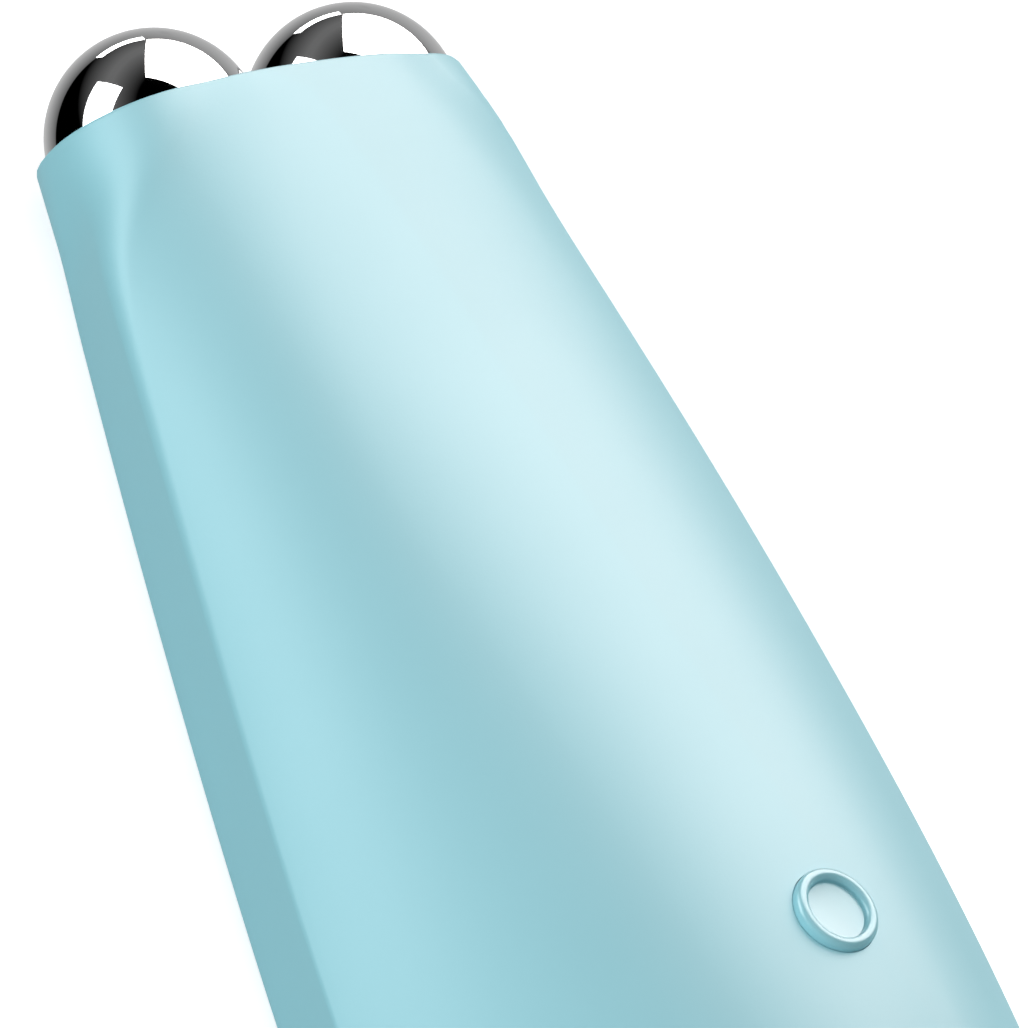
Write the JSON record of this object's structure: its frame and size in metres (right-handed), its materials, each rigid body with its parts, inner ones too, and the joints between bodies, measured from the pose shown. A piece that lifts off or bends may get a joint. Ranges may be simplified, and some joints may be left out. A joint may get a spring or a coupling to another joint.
{
  "type": "facial toning device",
  "caption": "Pear-shaped hand-held facial toning device with a soft skin, chrome contact balls set in its narrow head and a ring-shaped push button on the crown.",
  "frame": {"origin": "bottom centre of the bounding box: on the flat back, midway along the length and width", "axes": "+Z out of the face with the button, +Y toward the head with the contact balls, +X across"},
  "size_m": [0.0568, 0.1264, 0.0343],
  "materials": {
    "soft_skin": "very fine matt soft-touch texture",
    "button_plastic": "matt, same colour as the skin",
    "shell_plastic": "as moulded",
    "cover_plastic": "fine spark texture",
    "cap_plastic": "satin",
    "ball_chrome": "mirror polished plating",
    "seal_rubber": "smooth",
    "contact_brass": "bright",
    "fixing_steel": "zinc plated",
    "switch_plastic": "as moulded",
    "plunger_plastic": "as moulded",
    "board_laminate": "solder mask",
    "chip_plastic": "epoxy moulding",
    "coil_ferrite": "ground ferrite",
    "capacitor_can": "drawn can",
    "plug_plastic": "as moulded",
    "chassis_plastic": "as moulded",
    "battery_foil": "laminated pouch foil",
    "pad_foam": "closed-cell foam",
    "socket_plastic": "smooth",
    "lead_white": "insulation",
    "lead_red": "insulation",
    "lead_black": "insulation"
  },
  "bodies": {
    "handset": {"soft_skin": "soft_skin", "front_shell": "shell_plastic", "back_cover": "cover_plastic", "head_cap": "cap_plastic", "cover_gasket": "seal_rubber", "ball_left": "ball_chrome", "ball_right": "ball_chrome", "ball_seal_left": "seal_rubber", "ball_seal_right": "seal_rubber", "ball_lug_left": "contact_brass", "ball_lug_right": "contact_brass", "ball_washers": "fixing_steel", "ball_nuts": "fixing_steel", "button_seal": "seal_rubber", "switch_base": "switch_plastic", "switch_dome": "fixing_steel", "switch_plate": "fixing_steel", "main_board": "board_laminate", "board_screws": "fixing_steel", "beeper": "chip_plastic", "controller_chip": "chip_plastic", "driver_chip": "chip_plastic", "boost_coil": "coil_ferrite", "board_capacitors": "capacitor_can", "lead_plugs": "plug_plastic", "chassis": "chassis_plastic", "case_screws": "fixing_steel", "battery_cell": "battery_foil", "battery_pad": "pad_foam", "charge_socket": "socket_plastic", "socket_seal": "seal_rubber", "socket_tabs": "contact_brass", "electrode_lead_left": "lead_white", "electrode_lead_right": "lead_white", "battery_leads": "lead_red", "socket_leads": "lead_black"},
    "button": {"ring_button": "button_plastic"},
    "plunger": {"switch_plunger": "plunger_plastic"}
  },
  "joints": [
    {"name": "button_press", "type": "slide", "parent": "handset", "child": "button", "axis": [0, -0.0908, -0.9959], "range_m": [0, 0.0005], "stiffness_N_per_m": 4000, "springref_m": -0.0001},
    {"name": "plunger_press", "type": "slide", "parent": "handset", "child": "plunger", "axis": [0, -0.0908, -0.9959], "range_m": [0, 0.001]}
  ],
  "couplings": [
    {"joint": "plunger_press", "follows": "button_press", "ratio": 1}
  ]
}
